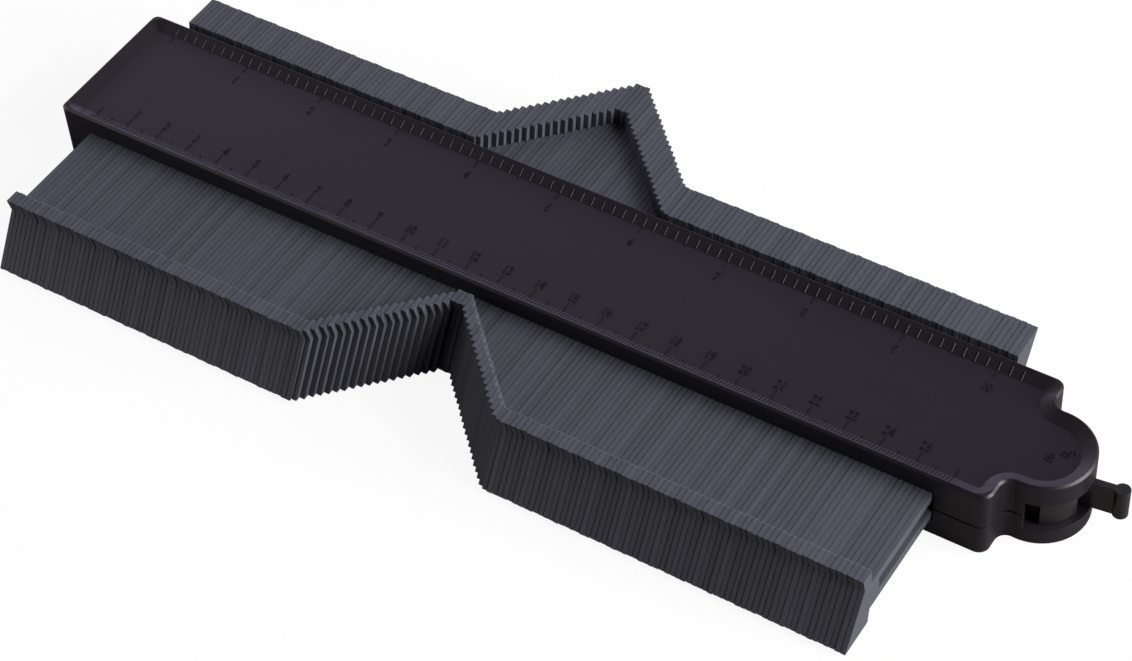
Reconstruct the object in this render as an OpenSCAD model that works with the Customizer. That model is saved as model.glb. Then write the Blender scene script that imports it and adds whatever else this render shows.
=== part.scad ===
// Contour gauge: a pack of thin plastic leaves that slide through a ruler case and are clamped by a lever.
// Millimetres. The origin is at the middle of the case's underside, +X runs along the ruler to the lever,
// +Y points across the case to the inch edge, +Z is up. The pack holds the print of a square corner.

/* [Leaves] */
// Number of leaves in the pack
leaf_count = 171; // [131:2:191]
// Distance from one leaf to the next
leaf_pitch = 1.5; // [1.3:0.05:1.8]
// Free gap between two leaves
leaf_gap = 0.06; // [0.04:0.01:0.1]
// Height of a leaf at its two heads
head_h = 18.4; // [17:0.1:21]
// Height of the flat bar between the heads
bar_h = 9.6; // [8.5:0.1:11]
// Height of the long slot in the bar
slot_h = 3.8; // [3:0.1:4.6]
// How far a leaf slides each way from the middle
leaf_travel = 15.4; // [14:0.1:17]
// Gap left between a head and the case at the end of its travel
stop_gap = 0.5; // [0.4:0.1:1]
// How far the front of a head leans back
head_lean = 9.2; // [6:0.1:10]
// Height of the leaning front below the lip
head_front_h = 14.3; // [10:0.1:15]
// How far the lip at the top of a head stands forward
lip_run = 0.9; // [0.2:0.1:2]
// Depth of a head at its lip side, from the tip inwards
head_lip_depth = 12.6; // [11.5:0.1:13]
// Depth of a head at its tip side, from the tip inwards
head_tip_depth = 11.2; // [10:0.1:12]
// How far the back of a head's tip side leans in
head_back_lean = 0.8; // [0.2:0.1:1]

/* [Contour] */
// Leaves that the corner has pushed back
corner_leaves = 39; // [21:2:39]
// How far the leaves at the corner's point stand short of their far stop
point_short = 2.15; // [1:0.05:12]
// Leaves from the middle of the pack to the middle of the corner
corner_shift = -2; // [-8:1:8]
// Leaves that lie level at the corner's point
corner_flat = 3; // [1:2:5]
// How far the leaves that nothing pushed stand short of their near stop
short_of_stop = 0.85; // [0.5:0.05:1.5]
// Natural unevenness of the leaves
unevenness = 0.15; // [0:0.05:0.4]
// Banks of leaves on each side of the corner
banks = 6; // [3:1:6]

/* [Case] */
// Width of the case across the leaves
case_w = 43.2; // [42:0.1:46]
// Thickness of the top plate under the ruler face
top_plate = 3.65; // [3:0.05:5]
// Height of the rim above the ruler face
rim_h = 1.9; // [1:0.1:3]
// Width of the rim's flat crown and outer edge
rim_w = 0.7; // [0.7:0.1:2]
// Run of the sloped wall between rim and ruler face
slope_run = 3.3; // [1.5:0.1:4]
// Corner radius of the ruler face
face_corner_r = 1; // [0.5:0.1:2]
// Chamfer on the outer edges of the case
edge_chamfer = 0.6; // [0.3:0.1:1]
// Length of the closed end away from the lever
end_wall = 9; // [8:0.1:12]
// Length of the shoulders at the lever end
shoulder_len = 14.2; // [14:0.1:18]
// How far the joint between the two halves lies below the middle of the leaves
seam_drop = 0.6; // [0:0.1:1]
// Depth and height of the groove along that joint
seam_groove = 0.5; // [0.2:0.1:0.6]
// Corner radius of the closed end
corner_r = 2; // [1.5:0.1:4]
// Corner radius of the shoulders
shoulder_r = 3; // [2:0.1:4]
// Radius of the hollow curve between a shoulder and the round end
neck_r = 3; // [2:0.1:3.4]
// Radius of the round end
round_r = 13; // [12.5:0.1:14.5]
// Wall of the round end
round_wall = 1.4; // [1.2:0.1:2]
// Distance from the shoulders to the lever's axis
round_out = 4; // [3.5:0.1:6]
// Side wall of the chamber behind the pack
side_wall = 2; // [1.5:0.1:2.2]
// Gap between the pack and the ends of its channel
pack_gap = 0.35; // [0.2:0.05:0.5]
// Gap above and below the bars
bar_clear = 0.25; // [0.15:0.05:0.4]
// Height of the leaves' feet above the underside
leaf_lift = 1.6; // [1:0.1:2.5]

/* [Guide rails] */
// Width of a rail
rail_w = 6; // [4:0.1:7]
// Distance from a side of the case to the middle of a rail
rail_edge = 6.6; // [6.2:0.1:7.5]
// Gap between a rail and the slots
rail_clear = 0.2; // [0.1:0.05:0.3]
// Depth of the socket at a rail's closed end
rail_socket = 4; // [3:0.1:4.5]
// Depth of the socket at a rail's lever end
rail_lever_socket = 1; // [0.6:0.1:1.2]

/* [Lock] */
// Swing of the lever from open to locked, in degrees
lever_swing = 85; // [60:1:85]
// Direction of the open arm, in degrees
arm_angle = 7.4; // [0:0.1:10]
// Thickness of the arm
arm_t = 1.9; // [1.5:0.1:3]
// Radius of the bead
bead_r = 2; // [1.5:0.1:2.5]
// Height of the lever
lever_h = 8.9; // [7.5:0.1:9.2]
// How far the lever's middle lies below the middle of the leaves
lever_drop = 0.75; // [0:0.05:1]
// Spare opening of the window past the open arm, in degrees
window_spare = 6; // [2:1:12]
// First edge of the drum when open, in degrees
drum_from = -66; // [-70:1:-55]
// Last edge of the drum when open, in degrees
drum_to = -12; // [-30:1:-10]
// Radius of the cam
cam_r = 8; // [7:0.1:8.5]
// Throw of the cam
cam_throw = 0.75; // [0.4:0.05:0.8]
// Travel of the pressure block
block_travel = 0.85; // [0.5:0.05:0.9]
// Thickness of the pressure block's plate
block_t = 5; // [4:0.1:5.2]
// Room behind the pressure block when it is free
block_room = 1.2; // [0.8:0.1:1.4]
// Width of the nose that the cam pushes
nose_w = 7; // [5:0.1:7.5]
// Room on each side of the nose
nose_room = 2; // [1:0.1:2.5]
// Diameter of the lever's pin
pin_d = 4; // [3:0.1:5]
// Thickness of the case left above and below the pin's ends
pin_skin = 2; // [1.4:0.1:2.4]
// Running clearance of the lever on its pin
pin_clear = 0.05; // [0.02:0.01:0.1]
// Gap round moving pieces of the lock
lock_clear = 0.3; // [0.2:0.05:0.4]

/* [Screws] */
// Diameter of a screw's shank
screw_d = 2.6; // [2:0.1:3]
// Diameter of a screw's head
screw_head_d = 4.8; // [4:0.1:5.4]
// Height of a screw's head
screw_head_h = 1.8; // [1.2:0.1:2.2]
// Depth of the recess below a screw's head
screw_recess = 2.4; // [2:0.1:2.8]
// Length of a screw's shank
screw_len = 13; // [11:0.1:14]
// Gap round a screw's head
head_gap = 0.3; // [0.2:0.05:0.5]
// Gap round a screw's shank in the lower half
shank_gap = 0.2; // [0.1:0.05:0.3]
// Room past a screw's tip
screw_tip_room = 0.6; // [0.3:0.1:1]
// Distance between the two screws of the closed end
screw_spread = 11; // [8:0.5:14]
// Distance from the shoulders to their screws
screw_shoulder_in = 3.9; // [3.7:0.1:4.2]
// Distance from a side of the case to the shoulder screws
screw_side_in = 5.6; // [5:0.1:6.5]

/* [Hidden] */
case_colour = [0.17, 0.16, 0.185];
leaf_colour = [0.31, 0.31, 0.35];
steel_colour = [0.7, 0.71, 0.73];
eps = 0.01;
far = 100;
// Overrun of a cut past the face that it starts from
cut_over = 0.4;
// Two angles that never fall into step, so that the unevenness doesn't repeat
uneven_turns = [137.5, 61];
round_fn = 96;
small_fn = 48;

leaf_t = leaf_pitch - leaf_gap;
pack_len = leaf_count * leaf_pitch;
head_depth = max(head_lip_depth, head_tip_depth + head_back_lean);
leaf_len = case_w + 2 * (leaf_travel + head_depth + stop_gap);
flat_y = short_of_stop - leaf_travel;
leaf_mid_z = leaf_lift + head_h / 2;
floor_z = leaf_mid_z - bar_h / 2 - bar_clear;
ceiling_z = leaf_mid_z + bar_h / 2 + bar_clear;
face_z = ceiling_z + top_plate;
top_z = face_z + rim_h;
seam_z = leaf_mid_z - seam_drop;

channel_x = pack_len / 2 + pack_gap;
end_x = -channel_x - end_wall;
shoulder_x = channel_x + shoulder_len;
axis_x = shoulder_x + round_out;
half_w = case_w / 2;
tray_inset = rim_w + slope_run;
tray_corner = tray_inset + face_corner_r;
neck_x = shoulder_x + neck_r;
neck_y = sqrt(pow(round_r + neck_r, 2) - pow(neck_x - axis_x, 2));

rail_h = slot_h - 2 * rail_clear;
rail_y = half_w - rail_edge;
rail_outer = rail_y + rail_w / 2;
rail_from = -channel_x - rail_socket;
slot_len = 2 * (leaf_travel + rail_outer + rail_clear);

lever_low = leaf_mid_z - lever_drop - lever_h / 2;
lever_high = lever_low + lever_h;
window_low = lever_low - lock_clear;
window_high = lever_high + lock_clear;
chamber_r = round_r - round_wall;
drum_r = chamber_r - 2 * lock_clear;
window_margin = asin((arm_t / 2 + lock_clear) / chamber_r);
window_from = arm_angle - lever_swing - window_margin;
window_to = arm_angle + window_margin + window_spare;
// Locked, the bead lies flush with the near side of the case
tip_r = (half_w - bead_r) / sin(lever_swing - arm_angle);
pin_low = pin_skin;
pin_high = face_z - pin_skin;

// The cam's high side faces the block when the lever is locked
cam_angle = lever_swing - 180;
cam_left = axis_x + cam_throw * cos(cam_angle) - cam_r;
block_x = pack_len / 2 + block_travel + lock_clear;
block_hw = half_w - side_wall - lock_clear;
chamber_x = block_x + block_t + block_room;
rail_to = chamber_x + rail_lever_socket;

screw_end_y = screw_spread / 2;
screw_end_x = end_x + end_wall / 2;
screw_shoulder_x = shoulder_x - screw_shoulder_in;
screw_shoulder_y = half_w - screw_side_in;
screw_spots = [
    [screw_end_x, screw_end_y],
    [screw_end_x, -screw_end_y],
    [screw_shoulder_x, screw_shoulder_y],
    [screw_shoulder_x, -screw_shoulder_y]
];

corner_first = floor((leaf_count - corner_leaves) / 2) + corner_shift;
corner_last = corner_first + corner_leaves - 1;
corner_mid = (corner_first + corner_last) / 2;
corner_depth = 2 * leaf_travel - short_of_stop - point_short;
corner_slope = corner_depth / ((corner_leaves - corner_flat) / 2 + 0.5);
right_count = leaf_count - 1 - corner_last;

function two(n) = str(n < 10 ? "0" : "", n);
function leaf_name(k) = str("leaf_", two(k + 1));
function bank_name(side, b) = str("leaf_bank_", side, "_", b + 1);

// Rest place of each leaf's middle: level, pushed back by the corner, and a little uneven
function leaf_x(i) = (i - (leaf_count - 1) / 2) * leaf_pitch;
function beside_point(i) = max(0, abs(i - corner_mid) - (corner_flat - 1) / 2);
function pushed(i) = max(0, corner_depth - corner_slope * beside_point(i));
function uneven(i) = unevenness * (sin(i * uneven_turns[0]) + sin(i * uneven_turns[1])) / 2;
function leaf_y(i) = flat_y + pushed(i) + uneven(i);

function left_edge(b) = floor(b * corner_first / banks);
function right_edge(b) = corner_last + 1 + floor(b * right_count / banks);

// A box from its two opposite corners
module box(low, high) {
    translate(low) cube(high - low);
}

// A row of points in the YZ plane, extruded along X from the given place
module along_x(x, length, points) {
    translate([x, 0, 0]) rotate([90, 0, 90]) linear_extrude(length) polygon(points);
}

// A row of points in the XZ plane, extruded along Y over the given half width
module across_y(hw, points) {
    translate([0, hw, 0]) rotate([90, 0, 0]) linear_extrude(2 * hw) polygon(points);
}

// The case seen from above, drawn in by an inset that grows from one level to the next.
// Walls, corners, round end and neck all lean by the same amount.
module case_slab(low, high, inset_low, inset_high, end_k, shoulder_k) {
    h = high - low;
    wall_low = half_w - inset_low;
    wall_high = half_w - inset_high;
    long = shoulder_x - shoulder_k - end_x - end_k;
    translate([0, 0, low]) {
        along_x(end_x + end_k, long, [[-wall_low, 0], [wall_low, 0], [wall_high, h], [-wall_high, h]]);
        across_y(half_w - max(end_k, shoulder_k), [
            [end_x + inset_low, 0],
            [shoulder_x - inset_low, 0],
            [shoulder_x - inset_high, h],
            [end_x + inset_high, h]
        ]);
        for (side = [-1, 1]) {
            translate([end_x + end_k, side * (half_w - end_k), 0])
                cylinder(h = h, r1 = end_k - inset_low, r2 = end_k - inset_high, $fn = small_fn);
            translate([shoulder_x - shoulder_k, side * (half_w - shoulder_k), 0])
                cylinder(h = h, r1 = shoulder_k - inset_low, r2 = shoulder_k - inset_high, $fn = small_fn);
            end_strip(h, side, end_x + end_k, end_k, shoulder_k, inset_low, inset_high, -1);
            end_strip(h, side, shoulder_x - shoulder_k, shoulder_k, end_k, inset_low, inset_high, 1);
            neck_fill(h, side, inset_low, inset_high);
        }
        translate([axis_x, 0, 0])
            cylinder(h = h, r1 = round_r - inset_low, r2 = round_r - inset_high, $fn = round_fn);
    }
}

// Straight end wall beside a corner that is rounder or tighter than the one at the other end
module end_strip(h, side, x, k, other_k, inset_low, inset_high, way) {
    strip = max(0, other_k - k);
    if (strip > 0)
        translate([0, side * (half_w - k - strip / 2), 0])
            across_y(strip / 2 + eps, [
                [x, 0],
                [x + way * (k - inset_low), 0],
                [x + way * (k - inset_high), h],
                [x, h]
            ]);
}

// Hollow curve that leads from a shoulder into the round end
module neck_fill(h, side, inset_low, inset_high) {
    difference() {
        linear_extrude(h) polygon([
            [axis_x, 0],
            [neck_x, side * neck_y],
            [shoulder_x - 2 * tray_inset, side * neck_y],
            [shoulder_x - 2 * tray_inset, 0]
        ]);
        translate([neck_x, side * neck_y, -eps])
            cylinder(h = h + 2 * eps, r1 = neck_r + inset_low, r2 = neck_r + inset_high, $fn = small_fn);
    }
}

// Rooms that both halves of the case share
module case_rooms() {
    box([-channel_x, -far, floor_z], [channel_x, far, ceiling_z]);
    box([channel_x - eps, side_wall - half_w, floor_z], [chamber_x, half_w - side_wall, ceiling_z]);
    box([chamber_x - eps, -nose_w / 2 - nose_room, floor_z], [axis_x, nose_w / 2 + nose_room, window_high]);
    translate([axis_x, 0, window_low])
        cylinder(h = window_high - window_low, r = chamber_r, $fn = round_fn);
    lever_window();
    for (side = [-1, 1])
        rail_bar(side, rail_clear / 2, rail_clear / 2);
    translate([axis_x, 0, pin_low])
        cylinder(h = pin_high - pin_low, d = pin_d + 2 * eps, $fn = small_fn);
}

// Opening in the round end through which the lever swings
module lever_window() {
    reach = 2 * round_r;
    mid = (window_from + window_to) / 2;
    mid_reach = reach / cos((window_to - window_from) / 2);
    translate([axis_x, 0, window_low]) linear_extrude(window_high - window_low) polygon([
        [0, 0],
        [reach * cos(window_from), reach * sin(window_from)],
        [mid_reach * cos(mid), mid_reach * sin(mid)],
        [reach * cos(window_to), reach * sin(window_to)]
    ]);
}

// A rail, or the room for one with a gap round it
module rail_bar(side, grow_y, grow_z) {
    box(
        [rail_from, side * rail_y - rail_w / 2 - grow_y, leaf_mid_z - rail_h / 2 - grow_z],
        [rail_to, side * rail_y + rail_w / 2 + grow_y, leaf_mid_z + rail_h / 2 + grow_z]
    );
}

// Upper half of the case with the ruler face in its shallow tray
module top_case() {
    tray_high = rim_w - cut_over * slope_run / rim_h;
    pilot_high = screw_recess + screw_len + screw_tip_room;
    color(case_colour) difference() {
        union() {
            case_slab(seam_z, top_z - edge_chamfer, 0, 0, corner_r, shoulder_r);
            case_slab(top_z - edge_chamfer - eps, top_z, 0, edge_chamfer, corner_r, shoulder_r);
        }
        case_slab(face_z, top_z + cut_over, tray_inset, tray_high, tray_corner, tray_corner);
        case_rooms();
        for (spot = screw_spots)
            translate([spot.x, spot.y, seam_z - cut_over])
                cylinder(h = pilot_high - seam_z + cut_over, d = screw_d + 2 * eps, $fn = small_fn);
    }
}

// Lower half of the case with the recesses for the screws
module bottom_case() {
    color(case_colour) difference() {
        union() {
            case_slab(0, edge_chamfer + eps, edge_chamfer, 0, corner_r, shoulder_r);
            case_slab(edge_chamfer, seam_z - seam_groove, 0, 0, corner_r, shoulder_r);
            case_slab(seam_z - seam_groove - eps, seam_z, seam_groove, seam_groove, corner_r, shoulder_r);
        }
        case_rooms();
        for (spot = screw_spots)
            translate([spot.x, spot.y, 0]) {
                translate([0, 0, -cut_over])
                    cylinder(h = screw_recess + cut_over, d = screw_head_d + 2 * head_gap, $fn = small_fn);
                cylinder(h = seam_z + cut_over, d = screw_d + 2 * shank_gap, $fn = small_fn);
            }
    }
}

module guide_rail_near() {
    color(steel_colour) rail_bar(-1, 0, 0);
}

module guide_rail_far() {
    color(steel_colour) rail_bar(1, 0, 0);
}

module case_screws() {
    color(steel_colour) for (spot = screw_spots)
        translate([spot.x, spot.y, screw_recess]) {
            translate([0, 0, -screw_head_h])
                cylinder(h = screw_head_h, d = screw_head_d, $fn = small_fn);
            cylinder(h = screw_len, d = screw_d, $fn = small_fn);
        }
}

module lever_pin() {
    color(steel_colour) translate([axis_x, 0, pin_low])
        cylinder(h = pin_high - pin_low, d = pin_d, $fn = small_fn);
}

// Lever with its cam, the drum that shows in the window, and the arm with a bead at its tip
module lock_lever() {
    mid = (drum_from + drum_to) / 2;
    reach = 2 * drum_r;
    color(case_colour) translate([axis_x, 0, lever_low]) difference() {
        union() {
            translate(cam_throw * [cos(cam_angle), sin(cam_angle), 0])
                cylinder(h = lever_h, r = cam_r, $fn = round_fn);
            intersection() {
                cylinder(h = lever_h, r = drum_r, $fn = round_fn);
                linear_extrude(lever_h) polygon([
                    [0, 0],
                    [reach * cos(drum_from), reach * sin(drum_from)],
                    [reach * cos(mid), reach * sin(mid)],
                    [reach * cos(drum_to), reach * sin(drum_to)]
                ]);
            }
            rotate(arm_angle) {
                translate([0, -arm_t / 2, 0]) cube([tip_r, arm_t, lever_h]);
                translate([tip_r, 0, 0]) cylinder(h = lever_h, r = bead_r, $fn = small_fn);
            }
        }
        translate([0, 0, -cut_over])
            cylinder(h = lever_h + 2 * cut_over, d = pin_d + 2 * pin_clear, $fn = small_fn);
    }
}

// Block on the rails that the cam drives against the pack
module pressure_block() {
    low = floor_z + bar_clear;
    high = ceiling_z - bar_clear;
    color(leaf_colour) difference() {
        union() {
            box([block_x, -block_hw, low], [block_x + block_t, block_hw, high]);
            box([block_x + eps, -nose_w / 2, low], [cam_left - lock_clear, nose_w / 2, lever_high]);
        }
        for (side = [-1, 1])
            rail_bar(side, rail_clear, rail_clear);
    }
}

// One leaf: two heads turned half round to each other, and a slotted bar between them
module leaf(i) {
    tip = leaf_len / 2;
    top = head_h / 2;
    bar = bar_h / 2;
    slot = [2 * leaf_t, slot_len, slot_h];
    head = [
        [-tip, -top],
        [-tip + head_lean, -top + head_front_h],
        [-tip + head_lean - lip_run, top],
        [-tip + head_lip_depth, top],
        [-tip + head_lip_depth, bar],
        [tip - head_tip_depth - head_back_lean, bar],
        [tip - head_tip_depth, top]
    ];
    translate([0, leaf_y(i), leaf_mid_z]) difference() {
        along_x(leaf_x(i) - leaf_t / 2, leaf_t, concat(head, -head));
        translate([leaf_x(i), 0, 0]) cube(slot, center = true);
    }
}

module corner_leaf(k) {
    color(leaf_colour) leaf(corner_first + k);
}

module leaf_bank(from, to) {
    color(leaf_colour) for (i = [from : to - 1])
        leaf(i);
}

top_case();
bottom_case();
guide_rail_near();
guide_rail_far();
case_screws();
lever_pin();
lock_lever();
pressure_block();
for (b = [0 : banks - 1])
    leaf_bank(left_edge(b), left_edge(b + 1));
for (k = [0 : corner_leaves - 1])
    corner_leaf(k);
for (b = [0 : banks - 1])
    leaf_bank(right_edge(b), right_edge(b + 1));
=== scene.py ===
# %% [markdown]
# # A contour gauge
# A contour gauge is a pack of thin plastic leaves held in a ruler-shaped case. Pressed against a skirting
# board or a pipe, every leaf slides back by itself, so the pack keeps the outline, and a lever at the end of
# the case clamps it. This one holds the print of a square corner.
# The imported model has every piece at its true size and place. What it lacks is what the eye reads as plastic:
# soft edges, moulded marks, grain and light. This lesson adds them, one cell at a time.

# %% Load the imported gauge
import math

import bmesh
import bpy
from mathutils import Matrix, Vector


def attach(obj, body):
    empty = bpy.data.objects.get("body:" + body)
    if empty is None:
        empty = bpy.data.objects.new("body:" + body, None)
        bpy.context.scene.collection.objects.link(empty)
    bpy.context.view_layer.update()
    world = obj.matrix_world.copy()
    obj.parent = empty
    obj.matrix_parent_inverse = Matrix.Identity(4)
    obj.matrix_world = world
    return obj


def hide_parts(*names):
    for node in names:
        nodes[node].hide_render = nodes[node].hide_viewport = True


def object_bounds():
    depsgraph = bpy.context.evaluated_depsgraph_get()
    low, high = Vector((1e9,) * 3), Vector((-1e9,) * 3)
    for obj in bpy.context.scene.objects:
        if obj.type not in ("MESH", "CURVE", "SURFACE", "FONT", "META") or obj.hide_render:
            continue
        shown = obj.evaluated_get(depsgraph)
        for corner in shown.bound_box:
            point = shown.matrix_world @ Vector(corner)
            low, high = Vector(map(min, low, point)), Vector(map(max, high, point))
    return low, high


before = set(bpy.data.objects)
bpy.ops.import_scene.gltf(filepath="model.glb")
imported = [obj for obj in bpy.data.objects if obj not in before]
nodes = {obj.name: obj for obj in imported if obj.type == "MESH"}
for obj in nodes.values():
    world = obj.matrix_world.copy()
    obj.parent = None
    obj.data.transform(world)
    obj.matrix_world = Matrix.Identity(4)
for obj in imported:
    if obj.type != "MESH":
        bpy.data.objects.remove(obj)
cad_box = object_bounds()
scene = bpy.context.scene
MM = 0.001

# %% [markdown]
# ## The camera
# The photograph looks down on the gauge from its near right corner through a long lens. The camera could be
# pushed about by eye, but the ruler gives it away: the ticks are known lengths, so their places in the
# picture fix where the camera stood, how it was turned and how long its lens was.

# %% Stand the camera
PHOTO_WIDTH = 1132
FOCAL_PIXELS = 2928.5
SENSOR_WIDTH = 36
CAMERA_PLACE = Vector((312.06, -428.63, 562.23)) * MM
CAMERA_HEADING = math.radians(35.18)
CAMERA_DOWN = math.radians(47.54)
CAMERA_ROLL = math.radians(-4.35)
NEAREST_SEEN = 10 * MM

lens = bpy.data.cameras.new("portrait_lens")
lens.sensor_fit = "HORIZONTAL"
lens.sensor_width = SENSOR_WIDTH
lens.lens = FOCAL_PIXELS * SENSOR_WIDTH / PHOTO_WIDTH
lens.clip_start = NEAREST_SEEN
camera = bpy.data.objects.new("portrait_camera", lens)
scene.collection.objects.link(camera)
heading = Matrix.Rotation(CAMERA_HEADING, 4, "Z")
tilt = Matrix.Rotation(math.pi / 2 - CAMERA_DOWN, 4, "X")
roll = Matrix.Rotation(CAMERA_ROLL, 4, "Z")
camera.matrix_world = Matrix.Translation(CAMERA_PLACE) @ heading @ tilt @ roll
scene.camera = camera
print("Camera with a", round(lens.lens, 1), "mm lens")

# %% [markdown]
# ## Node helpers
# A material is a small graph, and writing graphs out by hand is long. A few helpers keep the cells short. One
# adds a node and fills its sockets by name, or by number, as i0, where a node gives several the same name.
# Another opens a node group with named sockets. A group is the shader's version of a function: it is built
# once and placed in each material with its own values.

# %% Make the node helpers
def socket_of(node, name):
    numbered = name[0] == "i" and name[1:].isdigit()
    return node.inputs[int(name[1:])] if numbered else node.inputs[name]


def plug(tree, node, name, value):
    socket = socket_of(node, name)
    if isinstance(value, bpy.types.NodeSocket):
        tree.links.new(value, socket)
    else:
        socket.default_value = value


def add(tree, kind, settings=None, **sockets):
    node = tree.nodes.new(kind)
    for name, value in (settings or {}).items():
        setattr(node, name, value)
    for name, value in sockets.items():
        plug(tree, node, name.replace("_", " "), value)
    return node


def open_group(title, inputs, outputs):
    group = bpy.data.node_groups.new(title, "ShaderNodeTree")
    for name, start in inputs.items():
        socket = group.interface.new_socket(name, in_out="INPUT", socket_type="NodeSocketFloat")
        socket.default_value = start
    for name in outputs:
        group.interface.new_socket(name, in_out="OUTPUT", socket_type="NodeSocketFloat")
    return group, group.nodes.new("NodeGroupInput").outputs, group.nodes.new("NodeGroupOutput")


def use_group(tree, group, **sockets):
    return add(tree, "ShaderNodeGroup", {"node_tree": group}, **sockets).outputs


def math_node(tree, operation, first, second=0.0):
    return add(tree, "ShaderNodeMath", {"operation": operation}, i0=first, i1=second).outputs[0]


def lerp(tree, factor, low, high):
    return add(tree, "ShaderNodeMapRange", Value=factor, To_Min=low, To_Max=high).outputs[0]


def axis_of(tree, vector, axis):
    return add(tree, "ShaderNodeSeparateXYZ", Vector=vector).outputs[axis]


print("Node helpers ready")

# %% [markdown]
# ## The room
# A dark, satin object shows the room more than its own colour, so the room is built first. The slopes of the
# rim say what that room was like: the ones that mirror the far side are pale, the ones that mirror the near
# side are almost black, and the face darkens towards the lever. So the world is a pale wall behind the gauge
# that fades to the right, to the ceiling and to a dark room in front. A picture of a real studio would do the
# same, but three fades can be tuned one by one. The camera alone sees pure white, as in a cut-out picture.

# %% Paint the room
NEAR_WALL = 0.16
FAR_WALL = 0.95
RIGHT_WALL = 0.12
CEILING = 0.25
NEAR_TO_FAR = (-0.35, 0.65)
LEFT_TO_RIGHT = (-0.38, -0.14)
WALL_TO_CEILING = (0.45, 0.95)
ROOM_TINT = (0.98, 0.92, 1.14)
PURE_WHITE = 1.0


def for_camera(tree, hidden, shown):
    seen = tree.nodes.new("ShaderNodeLightPath").outputs["Is Camera Ray"]
    return lerp(tree, seen, hidden, shown)


def fade(tree, coordinate, axis, reach, low, high):
    place = axis_of(tree, add(tree, "ShaderNodeTexCoord").outputs[coordinate], axis)
    ramp = add(tree, "ShaderNodeMapRange", {"interpolation_type": "SMOOTHSTEP"}, Value=place,
               From_Min=reach[0], From_Max=reach[1], To_Min=low, To_Max=high)
    return ramp.outputs[0]


def tinted(tree, brightness, tones, shown):
    paint = add(tree, "ShaderNodeCombineColor")
    for channel, tone in zip(("Red", "Green", "Blue"), tones):
        plug(tree, paint, channel, for_camera(tree, math_node(tree, "MULTIPLY", brightness, tone), shown))
    return paint.outputs[0]


world = bpy.data.worlds.new("studio_room")
scene.world = world
world.use_nodes = True
sky = world.node_tree
depth_fade = fade(sky, "Generated", "Y", NEAR_TO_FAR, NEAR_WALL, FAR_WALL)
side_fade = fade(sky, "Generated", "X", LEFT_TO_RIGHT, 1.0, RIGHT_WALL)
height_fade = fade(sky, "Generated", "Z", WALL_TO_CEILING, 1.0, CEILING)
room = math_node(sky, "MULTIPLY", math_node(sky, "MULTIPLY", depth_fade, side_fade), height_fade)
plug(sky, sky.nodes["Background"], "Color", tinted(sky, room, ROOM_TINT, PURE_WHITE))
scene.view_settings.view_transform = "Standard"
print("Painted", world.name, "with", len(sky.nodes), "nodes")

# %% [markdown]
# ## The lamps
# One big softbox stands on the right, because the leaves are brightest on their right sides. A small box low
# on the left opens the shadow in the print of the corner. A long violet strip behind the gauge brightens the
# edges that face away from the camera, and gives the slopes of the rim their violet. All are area lamps,
# because a small lamp would draw hard shadows that the photograph doesn't have.

# %% Hang the softboxes
STRIP_COLOUR = (0.94, 0.86, 1.30)
middle = (cad_box[0] + cad_box[1]) / 2


def softbox(name, place, size, power, colour=(1, 1, 1)):
    lamp = bpy.data.lights.new(name, "AREA")
    lamp.shape = "RECTANGLE"
    lamp.size, lamp.size_y = size
    lamp.energy = power
    lamp.color = colour
    box = bpy.data.objects.new(name, lamp)
    scene.collection.objects.link(box)
    turn = (middle - Vector(place)).to_track_quat("-Z", "Y")
    box.matrix_world = Matrix.Translation(place) @ turn.to_matrix().to_4x4()


softbox("key_softbox", place=(1.25, 0.25, 0.62), size=(1.0, 1.0), power=44.0)
softbox("low_fill", place=(-1.0, -0.5, 0.34), size=(0.6, 0.6), power=5.2)
softbox("rim_strip", place=(-0.55, 1.35, 0.30), size=(1.6, 0.25), power=2.8, colour=STRIP_COLOUR)

# %% [markdown]
# ## The floor
# The gauge lies on white paper. To the camera the paper is almost pure white and keeps a faint shadow. To the
# gauge it is a dull sheet that throws less light from the near side, where the photograph's leaf heads are
# dark. So the paper mixes a dull surface with a glow that only the camera sees.

# %% Lay the floor
NEAR_FLOOR = 0.25
FAR_FLOOR = 0.60
RIGHT_FLOOR = 0.55
FLOOR_NEAR_TO_FAR = (0.05, 0.6)
FLOOR_LEFT_TO_RIGHT = (0.1, 0.4)
FLOOR_TINT = (1.0, 0.93, 0.88)
PAPER_WHITE = 0.9
SHADOW_SHARE = 0.09
FLOOR_HALF = 3.0
FLOOR_DROP = 0.05 * MM


def paper_material():
    paper = bpy.data.materials.new("white_paper")
    paper.use_nodes = True
    tree = paper.node_tree
    tree.nodes.clear()
    depth = fade(tree, "Object", "Y", FLOOR_NEAR_TO_FAR, NEAR_FLOOR, FAR_FLOOR)
    side = fade(tree, "Object", "X", FLOOR_LEFT_TO_RIGHT, 1.0, RIGHT_FLOOR)
    bounce = math_node(tree, "MULTIPLY", depth, side)
    dull = add(tree, "ShaderNodeBsdfDiffuse", Color=tinted(tree, bounce, FLOOR_TINT, PAPER_WHITE))
    glow = add(tree, "ShaderNodeEmission", Color=(1, 1, 1, 1), Strength=PURE_WHITE)
    share = for_camera(tree, 0.0, 1 - SHADOW_SHARE)
    mix = add(tree, "ShaderNodeMixShader", Fac=share, i1=dull.outputs[0], i2=glow.outputs[0])
    add(tree, "ShaderNodeOutputMaterial", Surface=mix.outputs[0])
    return paper


shape = bmesh.new()
bmesh.ops.create_grid(shape, x_segments=1, y_segments=1, size=FLOOR_HALF,
                      matrix=Matrix.Translation((0, 0, -FLOOR_DROP)))
floor_mesh = bpy.data.meshes.new("floor")
shape.to_mesh(floor_mesh)
shape.free()
floor_mesh.materials.append(paper_material())
floor = bpy.data.objects.new("floor", floor_mesh)
scene.collection.objects.link(floor)
print("Laid a floor of", 2 * FLOOR_HALF, "m")

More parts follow.
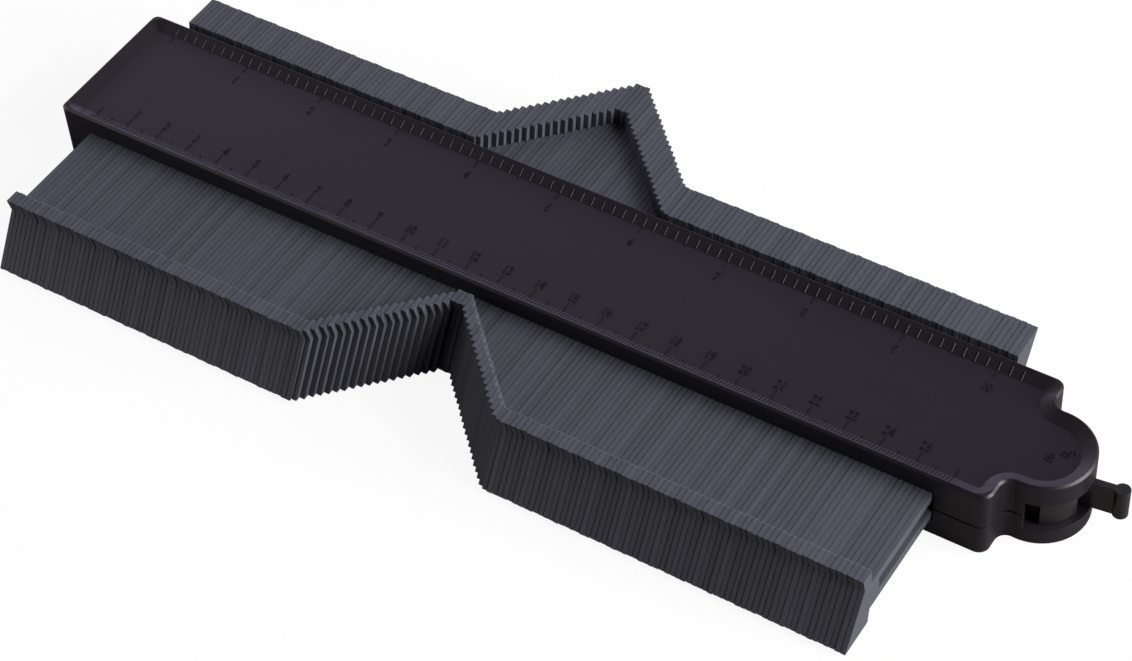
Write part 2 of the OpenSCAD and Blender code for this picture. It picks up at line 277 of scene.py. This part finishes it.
# %% [markdown]
# ## What moulded plastic looks like
# Two things tell plastic from paint. The mould is spark eroded, which leaves a fine, even grain, and hands
# polish that grain in soft patches. A picture of plastic would need every piece unwrapped, while a noise on
# the object's own coordinates fits any shape. Both effects are groups, because the case, the leaves and the
# marks all have them at their own scale.

# %% Build the grain and the handling groups
def noise_of(group, size, detail, roughness):
    place = add(group, "ShaderNodeTexCoord").outputs["Object"]
    rate = math_node(group, "DIVIDE", 1.0, size)
    noise = add(group, "ShaderNodeTexNoise", Vector=place, Scale=rate, Detail=detail, Roughness=roughness)
    return noise.outputs["Fac"]


grain_group, given, result = open_group("moulded_grain", {"Grain Size": 0.5 * MM}, ["Height"])
pits = noise_of(grain_group, given["Grain Size"], detail=2.0, roughness=0.6)
plug(grain_group, result, "Height", pits)

handling_group, given, result = open_group("handling", {"Patch Size": 30 * MM}, ["Polish"])
patches = noise_of(handling_group, given["Patch Size"], detail=3.0, roughness=0.55)
worn = add(handling_group, "ShaderNodeMapRange", Value=patches, From_Min=0.3, From_Max=0.7)
plug(handling_group, result, "Polish", worn.outputs[0])
print("Groups:", grain_group.name, handling_group.name)

# %% [markdown]
# ## The black plastics
# The case is a near-black satin plastic with a hint of violet. The lever is the same plastic without the
# violet, rubbed shiny by thumbs. The marks of the ruler are left dull by the engraved mould, so they read as
# darker strokes. All three have the same build: grain as bump, polish as roughness, and a colour that follows
# one of the two. A Bevel node turns the normals near each edge, which rounds the sharp edges of the packed
# case and lever without a change to their meshes.

# %% Make the black plastics
CASE_COLOUR = (0.0105, 0.0088, 0.0126)
LEVER_COLOUR = (0.0125, 0.0112, 0.0118)
MARK_COLOUR = (0.0090, 0.0078, 0.0104)
BLACK_GRAIN = 0.35 * MM
FINE_EDGE = 0.05 * MM
EDGE_SAMPLES = 6


def open_material(name, specular):
    material = bpy.data.materials.new(name)
    material.use_nodes = True
    surface = material.node_tree.nodes["Principled BSDF"]
    surface.inputs["Specular IOR Level"].default_value = specular
    return material, material.node_tree, surface


def tint(tree, colour, factor):
    grey = add(tree, "ShaderNodeCombineColor", Red=factor, Green=factor, Blue=factor)
    mix = add(tree, "ShaderNodeMix", {"data_type": "RGBA", "blend_type": "MULTIPLY"},
              i0=1.0, i6=(*colour, 1), i7=grey.outputs[0])
    return mix.outputs[2]


def rough_plastic(tree, surface, grain, depth, patch, roughness, edge=FINE_EDGE):
    height = use_group(tree, grain_group, Grain_Size=grain)["Height"]
    round_edge = add(tree, "ShaderNodeBevel", {"samples": EDGE_SAMPLES}, Radius=edge).outputs[0]
    bump = add(tree, "ShaderNodeBump", Strength=1.0, Distance=depth, Height=height, Normal=round_edge)
    plug(tree, surface, "Normal", bump.outputs[0])
    polish = use_group(tree, handling_group, Patch_Size=patch)["Polish"]
    plug(tree, surface, "Roughness", lerp(tree, polish, *roughness))
    return {"grain": height, "polish": polish}


def black_plastic(name, colour, specular, follows, shades, **finish):
    material, tree, surface = open_material(name, specular)
    texture = rough_plastic(tree, surface, **finish)[follows]
    plug(tree, surface, "Base Color", tint(tree, colour, lerp(tree, texture, *shades)))
    return material


case_plastic = black_plastic(
    "case_plastic", CASE_COLOUR, specular=0.3, follows="grain", shades=(0.7, 1.3),
    grain=BLACK_GRAIN, depth=0.012 * MM, patch=45 * MM, roughness=(0.46, 0.38), edge=0.15 * MM)
lever_plastic = black_plastic(
    "lever_plastic", LEVER_COLOUR, specular=0.4, follows="polish", shades=(0.9, 1.25),
    grain=BLACK_GRAIN, depth=0.008 * MM, patch=12 * MM, roughness=(0.38, 0.28), edge=0.25 * MM)
mark_plastic = black_plastic(
    "mark_plastic", MARK_COLOUR, specular=0.07, follows="polish", shades=(0.85, 1.2),
    grain=BLACK_GRAIN, depth=0.006 * MM, patch=20 * MM, roughness=(0.52, 0.42))
print("Materials:", case_plastic.name, lever_plastic.name, mark_plastic.name)

# %% [markdown]
# ## The grey plastic of the leaves
# The leaves are a drier slate grey, and no two of them took the colour or slid home in quite the same way. So
# each leaf gets its own shade, drawn by its number along the pack: partly its own tone, and partly painted
# light and shade for leaves that sit at slightly different heights. Each gap between leaves gets a painted
# shadow line, darker in some gaps than in others. The painted gap shadow stays off the sides of a leaf, which
# show where the pack is stepped. The inner edge of each near head gets a painted highlight: the imported
# pieces carry that place as an attribute, which is made further down.

# %% Make the leaf plastic
LEAF_COLOUR = (0.063, 0.064, 0.080)
LEAF_PITCH = 1.5 * MM
# Spread of each leaf's own value: partly a random tone, partly painted light and shade for its height.
LEAF_TONE_AND_SHADE = (0.88, 1.12)
LEAF_GRAIN_SHADES = (0.88, 1.12)
# The next two set the width and the darkness of the painted shadow line in each gap between leaves.
GAP_HALF = 0.17
GAP_SHADOW_LEVELS = (0.0, 0.65)
SIDE_FACING = (0.93, 0.99)
# Reach and strength of the painted highlight on the inner edge of each near head.
HIGHLIGHT_REACH = (0.93, 0.97)
HIGHLIGHT_GAIN = 2.4


def drawn_by(tree, number):
    return add(tree, "ShaderNodeTexWhiteNoise", {"noise_dimensions": "1D"}, W=number).outputs["Value"]


def between(tree, value, reach, low, high):
    return add(tree, "ShaderNodeMapRange", Value=value, From_Min=reach[0], From_Max=reach[1],
               To_Min=low, To_Max=high).outputs[0]


# Painted shadow: each gap between leaves gets a dark line, darker in some gaps than others, kept off bare
# sides.
def gap_shade(tree, leaf):
    gap = math_node(tree, "FLOOR", leaf)
    across = math_node(tree, "SUBTRACT", leaf, gap)
    beside = math_node(tree, "ABSOLUTE", math_node(tree, "SUBTRACT", across, 0.5))
    deepest = lerp(tree, drawn_by(tree, gap), *GAP_SHADOW_LEVELS)
    line = between(tree, beside, (0.0, GAP_HALF), deepest, 1.0)
    normal = add(tree, "ShaderNodeTexCoord").outputs["Normal"]
    sideways = math_node(tree, "ABSOLUTE", axis_of(tree, normal, "X"))
    return lerp(tree, between(tree, sideways, SIDE_FACING, 0.0, 1.0), line, 1.0)


def leaf_material():
    material, tree, surface = open_material("leaf_plastic", specular=0.3)
    textures = rough_plastic(tree, surface, grain=0.25 * MM, depth=0.010 * MM, patch=30 * MM,
                             roughness=(0.56, 0.48))
    along = axis_of(tree, add(tree, "ShaderNodeTexCoord").outputs["Object"], "X")
    leaf = math_node(tree, "DIVIDE", along, LEAF_PITCH)
    # Each leaf's value is partly its own tone and partly painted light and shade for a slightly higher or lower
    # leaf.
    own = lerp(tree, drawn_by(tree, math_node(tree, "ROUND", leaf)), *LEAF_TONE_AND_SHADE)
    shade = math_node(tree, "MULTIPLY", own, lerp(tree, textures["grain"], *LEAF_GRAIN_SHADES))
    # Painted highlight: the inner edge of each near head is painted lighter.
    painted_highlight = add(tree, "ShaderNodeAttribute", {"attribute_name": "painted_highlight"}).outputs["Fac"]
    shade = math_node(tree, "MULTIPLY", shade, between(tree, painted_highlight, HIGHLIGHT_REACH, 1.0, HIGHLIGHT_GAIN))
    # The painted shadow in the gaps darkens the colour.
    shade = math_node(tree, "MULTIPLY", shade, gap_shade(tree, leaf))
    plug(tree, surface, "Base Color", tint(tree, LEAF_COLOUR, shade))
    return material


leaf_plastic = leaf_material()
print("Material:", leaf_plastic.name, "for leaves of", LEAF_PITCH / MM, "mm")

# %% [markdown]
# ## The steel
# The rails, the pin and the screws are plain drawn steel. Drawing pulls fine scratches along the bar. An
# anisotropic shader could give their sheen, but it draws no single scratch. So a noise that is stretched
# along the case shades the colour and the roughness alike.

# %% Make the steel
STEEL_COLOUR = (0.55, 0.56, 0.58)
STEEL_SHADES = (0.75, 1.2)
STEEL_ROUGHNESS = (0.25, 0.45)
STREAKS_PER_METRE = (40, 2500, 2500)


def steel_material():
    material, tree, surface = open_material("plain_steel", specular=0.5)
    surface.inputs["Metallic"].default_value = 1.0
    place = add(tree, "ShaderNodeTexCoord").outputs["Object"]
    drawn = add(tree, "ShaderNodeMapping", Vector=place, Scale=STREAKS_PER_METRE)
    streaks = add(tree, "ShaderNodeTexNoise", Vector=drawn.outputs[0], Scale=1.0, Detail=3.0).outputs["Fac"]
    plug(tree, surface, "Base Color", tint(tree, STEEL_COLOUR, lerp(tree, streaks, *STEEL_SHADES)))
    plug(tree, surface, "Roughness", lerp(tree, streaks, *STEEL_ROUGHNESS))
    return material


plain_steel = steel_material()
print("Material:", plain_steel.name)

# %% [markdown]
# ## Fresh normals and marked edges
# No moulded edge is sharp: the tool has a small radius, and that thin bright line is what makes a dark piece
# readable. A Bevel modifier makes such edges, but the imported meshes are loose triangles with stored normals,
# which it would twist. So a small geometry node tree prepares them. It drops the stored normals, marks the
# shallow creases as sharp, and gives each true corner a weight for the bevel: a small one, or a full one on
# the inner edge of the near heads, where the photograph has a pale line. The same place is stored for the
# leaf material, which paints a highlight there.

# %% Build the fresh normals tree
CREASE_MIDDLE = math.radians(40)
CREASE_SPREAD = math.radians(20)
HEAD_TOP = 20.0 * MM
STEP_DEPTH = 0.5 * MM
STEP_FACING = 0.3
PLAIN_WEIGHT = 0.3


def head_step(group):
    place = add(group, "GeometryNodeInputPosition").outputs[0]
    normal = add(group, "GeometryNodeInputNormal").outputs[0]
    near = math_node(group, "LESS_THAN", axis_of(group, place, "Y"), 0.0)
    inward = math_node(group, "GREATER_THAN", axis_of(group, normal, "Y"), STEP_FACING)
    high = math_node(group, "GREATER_THAN", axis_of(group, place, "Z"), HEAD_TOP - STEP_DEPTH)
    return math_node(group, "MULTIPLY", math_node(group, "MULTIPLY", near, inward), high)


def store(group, mesh, domain, name, value):
    return add(group, "GeometryNodeStoreNamedAttribute", {"domain": domain, "data_type": "FLOAT"},
               Geometry=mesh, Name=name, Value=value).outputs[0]


def fresh_normals_tree():
    group = bpy.data.node_groups.new("fresh_normals", "GeometryNodeTree")
    for side in ("INPUT", "OUTPUT"):
        group.interface.new_socket("Mesh", in_out=side, socket_type="NodeSocketGeometry")
    packed = group.nodes.new("NodeGroupInput").outputs[0]
    bend = add(group, "GeometryNodeInputMeshEdgeAngle").outputs["Unsigned Angle"]
    crease = add(group, "ShaderNodeMath", {"operation": "COMPARE"},
                 i0=bend, i1=CREASE_MIDDLE, i2=CREASE_SPREAD).outputs[0]
    corner = math_node(group, "GREATER_THAN", bend, CREASE_MIDDLE + CREASE_SPREAD)
    step = head_step(group)
    weight = math_node(group, "MULTIPLY", corner, lerp(group, step, PLAIN_WEIGHT, 1.0))
    fresh = add(group, "GeometryNodeSetMeshNormal", {"mode": "SHARPNESS"}, Mesh=packed,
                Remove_Custom=True, Edge_Sharpness=crease, Face_Sharpness=False).outputs[0]
    weighed = store(group, fresh, "EDGE", "bevel_weight_edge", weight)
    # The head's step is stored for the leaf material, which paints a highlight there.
    add(group, "NodeGroupOutput", Mesh=store(group, weighed, "POINT", "painted_highlight", step))
    return group


fresh_normals = fresh_normals_tree()
print("Tree:", fresh_normals.name, "with", len(fresh_normals.nodes), "nodes")

# %% [markdown]
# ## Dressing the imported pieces
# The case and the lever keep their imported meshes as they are, because their materials round the edges. The
# leaves and the inner pieces get four modifiers: a Weld joins the triangles, the tree above prepares them, a
# Bevel rounds the corners, and a Weighted Normal keeps the large faces flat. On the leaves the bevel follows
# the weights, and on the inner pieces it takes every corner alike. The screws wait for their own cell.

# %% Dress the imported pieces
LEAF_EDGE = 0.30 * MM
INNER_EDGE = 0.20 * MM
EDGE_SEGMENTS = 2
WELD_REACH = 0.002 * MM
CORNER_ANGLE = math.radians(60)


def coat(name, material):
    for slot in nodes[name].material_slots:
        slot.material = material


def soften(piece, radius, by_weight):
    weld = piece.modifiers.new("join_triangles", "WELD")
    weld.merge_threshold = WELD_REACH
    piece.modifiers.new("fresh_normals", "NODES").node_group = fresh_normals
    bevel = piece.modifiers.new("soft_edges", "BEVEL")
    bevel.width = radius
    bevel.segments = EDGE_SEGMENTS
    bevel.limit_method = "WEIGHT" if by_weight else "ANGLE"
    bevel.angle_limit = CORNER_ANGLE
    bevel.loop_slide = False
    piece.modifiers.new("flat_faces", "WEIGHTED_NORMAL").keep_sharp = True


def dress(name, material, radius, by_weight=False):
    coat(name, material)
    soften(nodes[name], radius, by_weight)


coat("top_case", case_plastic)
coat("bottom_case", case_plastic)
coat("lock_lever", lever_plastic)
dress("pressure_block", leaf_plastic, INNER_EDGE)
for name in ("guide_rail_near", "guide_rail_far", "lever_pin"):
    dress(name, plain_steel, INNER_EDGE)
leaf_nodes = [name for name in nodes if name.startswith("leaf_")]
for name in leaf_nodes:
    dress(name, leaf_plastic, LEAF_EDGE, by_weight=True)
print("Softened", sum(bool(piece.modifiers) for piece in nodes.values()), "of", len(nodes), "pieces")

# %% [markdown]
# ## New pieces
# The ruler's marks and the screws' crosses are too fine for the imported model, so they are modelled here. Each
# shape is drawn in millimetres, scaled to metres once, and handed to the body that carries it.

# %% Make the piece helper
def piece_from(shape, name, body, material):
    bmesh.ops.scale(shape, vec=(MM, MM, MM), verts=shape.verts)
    bmesh.ops.recalc_face_normals(shape, faces=shape.faces)
    mesh = bpy.data.meshes.new(name)
    shape.to_mesh(mesh)
    shape.free()
    mesh.materials.append(material)
    piece = bpy.data.objects.new(name, mesh)
    scene.collection.objects.link(piece)
    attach(piece, body)
    print(name, "has", len(mesh.polygons), "faces")
    return piece


print("Piece helper ready")

# %% [markdown]
# ## The ticks
# The mould carries a ruler: millimetres on the near slope of the tray and eighths of an inch on the far one.
# A short tick stays on the slope, and a longer one runs down it and on across the face. So a tick is one bar
# or two, and a bar is a cube stretched between two points of the rim's section, sunk a little so that it
# grows out of the plastic. An Array modifier could repeat one tick, but their lengths change in fives and
# tens, so a loop makes them. Each bar is chamfered, because no moulded edge is sharp.

# %% Mould the ticks
FACE_Z = 19.5
SLOPE_FOOT = 17.6
SLOPE_TOP = 20.9
CROWN_Z = 21.4
RULER_START = -128.2
RULER_MILLIMETRES = 260
RULER_EIGHTHS = 82
INCH = 25.4
EIGHTH = INCH / 8
MARK_RISE = 0.12
MARK_SINK = 0.15
MARK_EDGE = 0.04
TICK_WIDTH = 0.38
TICK_TOP = 20.2
HALF_TICK = 16.7
LONG_TICK = 14.3
INCH_TICK_WIDTH = 0.32
HALF_INCH_TICK = 17.0
INCH_TICK = 15.3


def rim_height(y):
    climb = (abs(y) - SLOPE_FOOT) / (SLOPE_TOP - SLOPE_FOOT)
    return FACE_Z + max(climb, 0.0) * (CROWN_Z - FACE_Z)


def bar(shape, x, start, end, width, rise=MARK_RISE):
    low = Vector((x, start, rim_height(start)))
    high = Vector((x, end, rim_height(end)))
    run = high - low
    place = Matrix.Translation((low + high) / 2)
    lean = Matrix.Rotation(math.atan(run.z / run.y), 4, "X")
    lift = Matrix.Translation((0, 0, (rise - MARK_SINK) / 2))
    size = Matrix.Diagonal((width, run.length, rise + MARK_SINK, 1))
    bmesh.ops.create_cube(shape, size=1.0, matrix=place @ lean @ lift @ size)


def chamfer(shape, width):
    bmesh.ops.bevel(shape, geom=shape.edges[:], offset=width, segments=1, affect="EDGES",
                    profile=0.5, material=-1)


shape = bmesh.new()
for step in range(RULER_MILLIMETRES + 1):
    x = RULER_START + step
    bar(shape, x, -SLOPE_FOOT, -TICK_TOP, TICK_WIDTH)
    if step % 5 == 0:
        bar(shape, x, -LONG_TICK if step % 10 == 0 else -HALF_TICK, -SLOPE_FOOT, TICK_WIDTH)
for step in range(0, RULER_EIGHTHS + 1, 4):
    start = INCH_TICK if step % 8 == 0 else HALF_INCH_TICK
    bar(shape, RULER_START + step * EIGHTH, start, SLOPE_FOOT, INCH_TICK_WIDTH)
chamfer(shape, MARK_EDGE)
piece_from(shape, "ruler_ticks", "case", mark_plastic)

# %% [markdown]
# ## The inch ribs
# On the far slope the eighths of an inch shine: there the marks are satin ribs, and the photograph shows them
# as thin bright lines on a dark slope. A pale colour would look painted from every other side. So each rib
# has the plastic of the case and a wider chamfer, which catches the light as the real one does.

# %% Mould the inch ribs
RIB_RISE = 0.18
RIB_EDGE = 0.10
RIB_WIDTH = 0.30
RIB_GAP = 0.1
RIB_FOOT = SLOPE_FOOT + RIB_GAP
RIB_TOP = 20.0

shape = bmesh.new()
for step in range(RULER_EIGHTHS + 1):
    bar(shape, RULER_START + step * EIGHTH, RIB_FOOT, RIB_TOP, RIB_WIDTH, RIB_RISE)
chamfer(shape, RIB_EDGE)
piece_from(shape, "inch_ribs", "case", case_plastic)

# %% [markdown]
# ## The numerals
# Plain narrow figures stand at the end of each long tick. To draw them point by point would be slow, and
# Blender's own font is plain enough. So they start as text with a small bevel, which is turned into a mesh,
# squeezed to the width of the real figures and raised as high as a rib.

# %% Mould the numerals
FIGURE_HEIGHT = 3.0
FIGURE_WIDTH = 0.74
FIGURE_GAP = 0.6
INCH_FIGURE_GAP = 1.9
LAST_CENTIMETRE = 25
LAST_INCH = 10
DOUBLES_REACH = 0.001


def figure_mesh(words):
    curve = bpy.data.curves.new("figures", "FONT")
    curve.body = words
    curve.align_x = "CENTER"
    curve.resolution_u = 3
    curve.extrude = 0.02
    curve.bevel_depth = 0.028
    curve.bevel_resolution = 0
    curve.offset = -0.010
    holder = bpy.data.objects.new("figures", curve)
    scene.collection.objects.link(holder)
    bpy.context.view_layer.update()
    mesh = bpy.data.meshes.new_from_object(holder.evaluated_get(bpy.context.evaluated_depsgraph_get()))
    bpy.data.objects.remove(holder)
    bpy.data.curves.remove(curve)
    return mesh


def numeral(shape, words, x, y):
    mesh = figure_mesh(words)
    heights = [v.co.y for v in mesh.vertices]
    scale = FIGURE_HEIGHT / (max(heights) - min(heights))
    low = min(heights) * scale
    top = max(v.co.z for v in mesh.vertices) * scale
    size = Matrix.Diagonal((scale * FIGURE_WIDTH, scale, scale, 1))
    mesh.transform(Matrix.Translation((x, y - low, FACE_Z + RIB_RISE - top)) @ size)
    shape.from_mesh(mesh)
    bpy.data.meshes.remove(mesh)


shape = bmesh.new()
for number in range(1, LAST_CENTIMETRE + 1):
    numeral(shape, str(number), RULER_START + 10 * number, -LONG_TICK + FIGURE_GAP)
for number in range(1, LAST_INCH + 1):
    numeral(shape, str(number), RULER_START + INCH * number, INCH_TICK - INCH_FIGURE_GAP - FIGURE_HEIGHT)
bmesh.ops.remove_doubles(shape, verts=shape.verts, dist=DOUBLES_REACH)
piece_from(shape, "ruler_numerals", "case", mark_plastic)

# %% [markdown]
# ## The lock signs
# Two small padlocks by the lever show which way it locks: one closed, one with its shackle swung aside. A
# mould maker engraves such a sign with one narrow cutter, so all its strokes have the same width. So the body
# is a plate, inset by that width to a frame and raised, and the shackle is a section of that width, spun half
# a turn, on two legs.

# %% Mould the lock signs
CLOSED_SIGN = (148.8, -0.9)
OPEN_SIGN = (151.7, 2.1)
SIGN_SIZE = 2.4
SIGN_STROKE = 0.34
BODY_WIDE = 0.42 * SIGN_SIZE
BODY_TALL = 0.30 * SIGN_SIZE
BODY_DROP = 0.2 * SIGN_SIZE
SHACKLE_REACH = 0.27 * SIGN_SIZE
SHACKLE_LIFT = 0.3 * SIGN_SIZE
SHACKLE_STEPS = 10
LEG_LENGTH = 0.22 * SIGN_SIZE
LEG_DROP = 0.1 * SIGN_SIZE


def sign_body(shape, x, y):
    base = Matrix.Translation((x, y, FACE_Z - MARK_SINK)) @ Matrix.Diagonal((BODY_WIDE, BODY_TALL, 1, 1))
    corners = bmesh.ops.create_grid(shape, x_segments=1, y_segments=1, size=1.0, matrix=base)["verts"]
    plate = corners[0].link_faces[0]
    ring = bmesh.ops.inset_region(shape, faces=[plate], thickness=SIGN_STROKE,
                                  use_boundary=True, use_even_offset=True)["faces"]
    bmesh.ops.delete(shape, geom=[plate], context="FACES_ONLY")
    raised = bmesh.ops.extrude_face_region(shape, geom=ring, use_keep_orig=True)["geom"]
    tops = [v for v in raised if isinstance(v, bmesh.types.BMVert)]
    bmesh.ops.translate(shape, verts=tops, vec=(0, 0, MARK_RISE + MARK_SINK))


def sign_shackle(shape, x, y):
    stand = Matrix.Translation((x - SHACKLE_REACH, y, FACE_Z)) @ Matrix.Rotation(math.pi / 2, 4, "X")
    profile = stand @ Matrix.Diagonal((SIGN_STROKE / 2, MARK_RISE, 1, 1))
    start = bmesh.ops.create_grid(shape, x_segments=1, y_segments=1, size=1.0, matrix=profile)["verts"]
    section = start[0].link_faces[0]
    arc = [*start, *section.edges, section]
    bmesh.ops.spin(shape, geom=arc, cent=(x, y, FACE_Z), axis=(0, 0, -1), angle=math.pi, steps=SHACKLE_STEPS)
    leg_size = Matrix.Diagonal((SIGN_STROKE, LEG_LENGTH, MARK_RISE + MARK_SINK, 1))
    for side in (-1, 1):
        leg = (x + side * SHACKLE_REACH, y - LEG_DROP, FACE_Z + (MARK_RISE - MARK_SINK) / 2)
        bmesh.ops.create_cube(shape, size=1.0, matrix=Matrix.Translation(leg) @ leg_size)


def padlock(shape, spot, swing):
    x, y = spot
    sign_body(shape, x, y - BODY_DROP)
    sign_shackle(shape, x + swing * SHACKLE_REACH * 2, y + SHACKLE_LIFT)


shape = bmesh.new()
padlock(shape, CLOSED_SIGN, swing=0)
padlock(shape, OPEN_SIGN, swing=1)
piece_from(shape, "lock_signs", "case", mark_plastic)

# %% [markdown]
# ## The screws
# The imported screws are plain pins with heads. A real one is turned, and its cross is punched into the head. A
# boolean could cut the cross, but it often leaves slivers, so the head grows round it instead. The cross
# starts as a grid of nine squares without its corners, set in a ring, and triangles fill the flat between the
# two. The ring is then pulled up as the head's rim, drawn in to the shank and closed at the tip, and the
# cross is pushed in. One screw is made and placed four times, each turned as it happened to stop.

# %% Turn the screws
SCREW_SPOTS = ((-133.1, 5.5), (-133.1, -5.5), (138.9, 16.0), (138.9, -16.0))
FIRST_TURN = 0.4
HEAD_Z, NECK_Z, TIP_Z = 0.6, 2.4, 15.4
HEAD_R, HEAD_EDGE, SHANK_R = 2.4, 0.3, 1.3
HEAD_SIDES = 32
TIP_LENGTH, TIP_SHARE = 1.0, 0.4
CROSS_HALF, CROSS_DEPTH, CROSS_TAPER = 1.35, 1.1, 0.55
CROSS_SQUARES = 5
SHARP_FROM = math.radians(35)


def pull(shape, edges, height, ratio):
    grown = bmesh.ops.extrude_edge_only(shape, edges=edges)["geom"]
    verts = [v for v in grown if isinstance(v, bmesh.types.BMVert)]
    bmesh.ops.translate(shape, verts=verts, vec=(0, 0, height))
    bmesh.ops.scale(shape, verts=verts, vec=(ratio, ratio, 1))
    return [e for e in grown if isinstance(e, bmesh.types.BMEdge) and all(v in verts for v in e.verts)]


def flat_cross(shape, place):
    bmesh.ops.create_grid(shape, x_segments=3, y_segments=3, size=CROSS_HALF, matrix=place)
    squares = sorted(shape.faces, key=lambda f: f.calc_center_median().xy.length)
    bmesh.ops.delete(shape, geom=squares[CROSS_SQUARES:], context="FACES")
    return bmesh.ops.dissolve_faces(shape, faces=squares[:CROSS_SQUARES])["region"][0]


def punch(shape, cross):
    pushed = bmesh.ops.extrude_face_region(shape, geom=[cross])["geom"]
    bmesh.ops.delete(shape, geom=[cross], context="FACES_ONLY")
    sunk = [v for v in pushed if isinstance(v, bmesh.types.BMVert)]
    bmesh.ops.translate(shape, verts=sunk, vec=(0, 0, CROSS_DEPTH))
    bmesh.ops.scale(shape, verts=sunk, vec=(CROSS_TAPER, CROSS_TAPER, 1))


def screw_mesh():
    shape = bmesh.new()
    place = Matrix.Translation((0, 0, HEAD_Z))
    cross = flat_cross(shape, place)
    flat_r = HEAD_R - HEAD_EDGE
    bmesh.ops.create_circle(shape, segments=HEAD_SIDES, radius=flat_r, matrix=place)
    rim = [e for e in shape.edges if e.is_wire]
    bmesh.ops.triangle_fill(shape, use_beauty=True, edges=rim + cross.edges[:], normal=(0, 0, -1))
    edges = pull(shape, rim, HEAD_EDGE, HEAD_R / flat_r)
    edges = pull(shape, edges, NECK_Z - HEAD_Z - HEAD_EDGE, 1.0)
    edges = pull(shape, edges, 0, SHANK_R / HEAD_R)
    edges = pull(shape, edges, TIP_Z - NECK_Z - TIP_LENGTH, 1.0)
    edges = pull(shape, edges, TIP_LENGTH, TIP_SHARE)
    bmesh.ops.contextual_create(shape, geom=edges)
    punch(shape, cross)
    screw = bpy.data.meshes.new("screw")
    shape.to_mesh(screw)
    shape.free()
    return screw


screw = screw_mesh()
shape = bmesh.new()
for count, spot in enumerate(SCREW_SPOTS):
    turned = screw.copy()
    turned.transform(Matrix.Translation((*spot, 0)) @ Matrix.Rotation(FIRST_TURN + count, 4, "Z"))
    shape.from_mesh(turned)
    bpy.data.meshes.remove(turned)
bpy.data.meshes.remove(screw)
screws = piece_from(shape, "cross_screws", "case", plain_steel)
screws.data.shade_smooth()
screws.data.set_sharp_from_angle(angle=SHARP_FROM)
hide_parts("case_screws")
